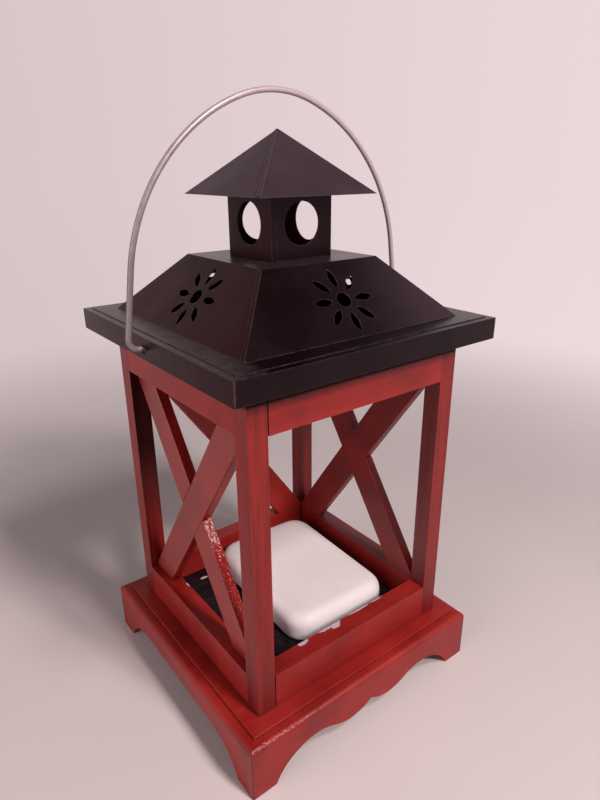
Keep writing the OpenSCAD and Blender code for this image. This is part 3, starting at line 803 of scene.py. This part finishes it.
def wax_mesh(inside):
    """Pillow-shaped block of wax round its own middle, with its underside at height 0."""
    mesh = bmesh.new()
    profile = wax_profile(inside)
    reach_x, reach_y = inside.width / 2 - inside.shoulder, inside.length / 2 - inside.shoulder
    edge_z = inside.height - inside.crown
    span = reach_x - CROWN_END
    crown = [(inside.shoulder + span * step / CROWN_STEPS, None) for step in range(1, CROWN_STEPS + 1)]
    rings = []
    for inset, z in profile + crown:
        corner = max(inside.corner - inset, LEAST_CORNER)
        points = rounded_ring(inside.width - 2 * inset, inside.length - 2 * inset, corner)
        ring = []
        for point in points:
            rise = max(1 - (point.x / reach_x) ** 2, 0) * max(1 - (point.y / reach_y) ** 2, 0)
            height = edge_z + inside.crown * rise if z is None else z
            lump = noise.noise(Vector((point.x, point.y, height)) * LUMPS_PER_M) * LUMP
            lump *= min(height / inside.height, TOP_SHARE)
            ring.append(mesh.verts.new((point.x, point.y, height + lump)))
        rings.append(ring)
    for lower, upper in zip(rings, rings[1:]):
        for i in range(len(lower)):
            j = (i + 1) % len(lower)
            mesh.faces.new((lower[i], lower[j], upper[j], upper[i]))
    mesh.faces.new(list(reversed(rings[0])))
    mesh.faces.new(rings[-1])
    for face in mesh.faces:
        face.smooth = True
    bmesh.ops.triangulate(mesh, faces=[face for face in mesh.faces if len(face.verts) > 4])
    bmesh.ops.recalc_face_normals(mesh, faces=mesh.faces)
    data = bpy.data.meshes.new("wax_block")
    mesh.to_mesh(data)
    mesh.free()
    return data


class LANTERN_OT_wax(bpy.types.Operator):
    """Pours the wax block that lies on the floor plate"""
    bl_idname = "lantern.wax"
    bl_label = "Pour the wax block"

    def execute(self, context):
        inside = context.scene.lantern_inside
        low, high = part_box("candle_block")
        data = wax_mesh(inside)
        middle = ((low[0] + high[0]) / 2, (low[1] + high[1]) / 2, low[2])
        data.transform(Matrix.Translation(middle) @ Matrix.Rotation(inside.turn, 4, "Z"))
        block = bpy.data.objects.new("wax_block", data)
        context.scene.collection.objects.link(block)
        data.materials.append(white_wax("white_wax", inside))
        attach(block, "block")
        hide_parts("candle_block")
        return {"FINISHED"}


class LANTERN_OT_roof(bpy.types.Operator):
    """Blackens the sheet metal of the eave tray, hip roof, cupola and cap"""
    bl_idname = "lantern.roof"
    bl_label = "Blacken the roof"

    def execute(self, context):
        metal = context.scene.lantern_metal
        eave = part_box("eave_tray")[1][0] * PER_M
        hip_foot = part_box("hip_roof")[1][0] * PER_M

        def corner_strips(finish):
            out_x = finish.aside(finish.place(), "X")
            strip_edge = eave - CORNER_STRIP
            strip = finish.spread(out_x, strip_edge - STRIP_BLUR, strip_edge + STRIP_BLUR)
            return finish.math("MULTIPLY", strip, finish.beside(DEEP))

        # The tray's front band beside the hip gets no painted sheen
        def front_band(finish):
            place = finish.place()
            beside_hip = finish.spread(finish.aside(place, "X"), *in_from(hip_foot, SHEEN_INSET))
            front = finish.spread(finish.part(place, "Y"), *TRAY_FRONT_Y)
            return finish.math("MULTIPLY", beside_hip, front)

        def under_hip(finish):
            place = finish.place()
            out = finish.math("MAXIMUM", finish.aside(place, "X"), finish.aside(place, "Y"))
            above_skirt = finish.spread(finish.part(place, "Z"), *SKIRT_TOP)
            within = finish.spread(out, *in_from(hip_foot, SHADE_INSET))
            return finish.math("MULTIPLY", above_skirt, within)

        def right_end(finish):
            front = finish.spread(finish.facing(DEEP), -0.2, -0.5)
            far = finish.spread(finish.part(finish.place(), "X"), *HIP_RIGHT_X, 0.0, 0.55)
            return finish.math("MULTIPLY", front, far)

        tray = black_sheet("black_tray", metal, bare=corner_strips, no_sheen=front_band, unlit=under_hip)
        dress("eave_tray", tray)
        dress("hip_roof", black_sheet("black_hip_roof", metal, weathered=right_end))
        dress("cupola", black_sheet("black_cupola", metal))
        dress("cap", black_sheet("black_cap", metal, fade=0.9))
        for node in ("eave_tray", "hip_roof", "cupola", "cap"):
            ease(node, metal.fold, 2)
        return {"FINISHED"}


class LANTERN_OT_bail(bpy.types.Operator):
    """Finishes the zinc wire of the bail"""
    bl_idname = "lantern.bail"
    bl_label = "Finish the bail"

    def execute(self, context):
        # The wire is painted paler to the right and towards the top, as painted light
        wire = zinc("zinc_wire", context.scene.lantern_metal, 6.0, lit_right=0.7, lit_top=0.3)
        dress("bail_handle", wire)
        return {"FINISHED"}


class LANTERN_OT_screws(bpy.types.Operator):
    """Finishes the screws in the base and under the roof"""
    bl_idname = "lantern.screws"
    bl_label = "Finish the screws"

    def execute(self, context):
        material = zinc("zinc_screws", context.scene.lantern_metal, 2.0)
        for node in ("base_screws", "roof_screws"):
            dress(node, material)
        return {"FINISHED"}


# Studio floor: its radius and its drop under the feet in metres, its sides, and its fading ring in mm
FLOOR_RADIUS = 6.0
FLOOR_DROP = 0.05 * MM
FLOOR_SIDES = 96
FLOOR_FADE = (300.0, 1100.0)

# Camera: its sensor in mm, the picture's height that its focal length goes with, its near limit in metres
SENSOR = 36.0
PICTURE_HEIGHT = 800.0
CLIP_START = 0.01


def pale_seen(nodes):
    """1 for rays that should see the pale surroundings as they are: camera, gloss and glass."""
    path = nodes.add("ShaderNodeLightPath").outputs
    seen = nodes.math("MAXIMUM", path["Is Camera Ray"], path["Is Glossy Ray"])
    return nodes.math("MAXIMUM", seen, path["Is Transmission Ray"])


def wall_level(nodes, direction, stage):
    """Brightness of the pale surroundings in a direction from the object."""
    return nodes.spread(nodes.dot(direction, stage.brighter), -0.8, 0.8, 0.88, 1.14)


def studio_floor(stage):
    """Pale matt floor that keeps the shadow, fades into the surroundings and is clear from below."""
    finish = Finish("studio_floor")
    place = finish.place()
    out = finish.add("ShaderNodeVectorMath", {0: place}, operation="LENGTH").outputs["Value"]
    far = finish.math("MULTIPLY", finish.spread(out, *FLOOR_FADE), pale_seen(finish))
    tone = finish.noise(place, 180.0)
    dull = tuple(0.96 * channel for channel in stage.floor)
    finish.surface(Base_Color=finish.ramp(tone, (0.3, dull), (0.7, stage.floor)), Roughness=0.85)
    level = wall_level(finish, finish.unit(place), stage)
    glow = finish.add("ShaderNodeEmission", {"Color": (*stage.wall, 1.0), "Strength": level}).outputs[0]
    mixed = finish.add("ShaderNodeMixShader", {0: far, 1: finish.shader.outputs[0], 2: glow}).outputs[0]
    below = finish.add("ShaderNodeNewGeometry").outputs["Backfacing"]
    clear = finish.add("ShaderNodeBsdfTransparent").outputs[0]
    one_sided = finish.add("ShaderNodeMixShader", {0: below, 1: mixed, 2: clear}).outputs[0]
    finish.join(finish.tree.nodes["Material Output"].inputs["Surface"], one_sided)
    return finish.material


def make_floor(stage):
    """Large flat floor just under the feet."""
    mesh = bmesh.new()
    bmesh.ops.create_circle(mesh, cap_ends=True, radius=FLOOR_RADIUS, segments=FLOOR_SIDES)
    data = bpy.data.meshes.new("studio_floor")
    mesh.to_mesh(data)
    mesh.free()
    data.transform(Matrix.Translation((0.0, 0.0, -FLOOR_DROP)))
    data.materials.append(studio_floor(stage))
    floor = bpy.data.objects.new("studio_floor", data)
    bpy.context.scene.collection.objects.link(floor)


def make_world(stage):
    """Even light from all round, which cameras and gloss see as pale walls under a dimmer ceiling."""
    world = bpy.data.worlds.new("studio")
    world.use_nodes = True
    bpy.context.scene.world = world
    nodes = Nodes(world.node_tree)
    background = nodes.tree.nodes["Background"]
    nodes.join(background.inputs["Color"], (*stage.ambient, 1.0))
    nodes.join(background.inputs["Strength"], stage.ambient_level)
    direction = nodes.add("ShaderNodeTexCoord").outputs["Generated"]
    height = nodes.part(direction, "Z")
    seen_colour = nodes.blend(nodes.spread(height, 0.30, 0.80), stage.wall, stage.ceiling)
    level = wall_level(nodes, direction, stage)
    seen = nodes.add("ShaderNodeBackground", {"Color": seen_colour, "Strength": level}).outputs[0]
    inputs = {0: pale_seen(nodes), 1: background.outputs[0], 2: seen}
    mixed = nodes.add("ShaderNodeMixShader", inputs).outputs[0]
    nodes.join(nodes.tree.nodes["World Output"].inputs["Surface"], mixed)


def make_lamp(name, stage):
    """Square lamp that looks at the object's middle and that cameras don't see."""
    data = bpy.data.lights.new(name, "AREA")
    data.size = getattr(stage, f"{name}_size")
    data.energy = getattr(stage, f"{name}_watts")
    data.color = getattr(stage, f"{name}_tint")
    lamp = bpy.data.objects.new(name, data)
    low, high = CAD_BOX
    middle = (Vector(low) + Vector(high)) / 2
    away = Vector(getattr(stage, f"{name}_from")).normalized()
    stand = Matrix.Translation(middle + away * getattr(stage, f"{name}_distance"))
    lamp.matrix_world = stand @ away.to_track_quat("Z", "Y").to_matrix().to_4x4()
    lamp.visible_camera = False
    bpy.context.scene.collection.objects.link(lamp)


def make_camera(stage):
    """Camera at the photograph's view."""
    level = math.cos(stage.elevation)
    x, y = math.sin(stage.azimuth) * level, -math.cos(stage.azimuth) * level
    back = Vector((x, y, math.sin(stage.elevation)))
    right = Vector(UPRIGHT).cross(back).normalized()
    up = back.cross(right)
    turn = Matrix.Rotation(stage.roll, 3, back)
    axes = Matrix((turn @ right, turn @ up, back)).transposed()
    data = bpy.data.cameras.new("camera")
    data.sensor_width = SENSOR
    data.lens = stage.focal / PICTURE_HEIGHT * SENSOR
    data.clip_start = CLIP_START
    camera = bpy.data.objects.new("camera", data)
    eye = Vector(stage.target) + back * stage.distance
    camera.matrix_world = Matrix.Translation(eye) @ axes.to_4x4()
    bpy.context.scene.collection.objects.link(camera)
    bpy.context.scene.camera = camera


class LANTERN_OT_stage(bpy.types.Operator):
    """Sets the studio floor, the light and the camera"""
    bl_idname = "lantern.stage"
    bl_label = "Set the stage"

    def execute(self, context):
        stage = context.scene.lantern_stage
        make_floor(stage)
        make_world(stage)
        for lamp in ("key", "top", "fill"):
            make_lamp(lamp, stage)
        make_camera(stage)
        context.scene.view_settings.view_transform = "Standard"
        return {"FINISHED"}


OPERATORS = (LANTERN_OT_base, LANTERN_OT_posts, LANTERN_OT_rails, LANTERN_OT_braces, LANTERN_OT_floor,
             LANTERN_OT_wax, LANTERN_OT_roof, LANTERN_OT_bail, LANTERN_OT_screws, LANTERN_OT_stage)
GROUPS = {"lantern_paint": LanternPaint, "lantern_metal": LanternMetal,
          "lantern_inside": LanternInside, "lantern_stage": LanternStage}


class LANTERN_PT_panel(bpy.types.Panel):
    """Lists the lantern's operators"""
    bl_label = "Candle lantern"
    bl_idname = "LANTERN_PT_panel"
    bl_space_type = "VIEW_3D"
    bl_region_type = "UI"
    bl_category = "Lantern"

    def draw(self, context):
        for operator in OPERATORS:
            self.layout.operator(operator.bl_idname)


CLASSES = (*GROUPS.values(), *OPERATORS, LANTERN_PT_panel)


def register():
    """Registers the classes and hangs the settings on the scene."""
    for cls in CLASSES:
        bpy.utils.register_class(cls)
    for name, group in GROUPS.items():
        setattr(bpy.types.Scene, name, PointerProperty(type=group))


def unregister():
    """Takes the settings and the classes away again."""
    for name in GROUPS:
        delattr(bpy.types.Scene, name)
    for cls in reversed(CLASSES):
        bpy.utils.unregister_class(cls)


def main():
    register()
    for operator in OPERATORS:
        family, name = operator.bl_idname.split(".")
        getattr(getattr(bpy.ops, family), name)()


if __name__ == "__main__":
    main()
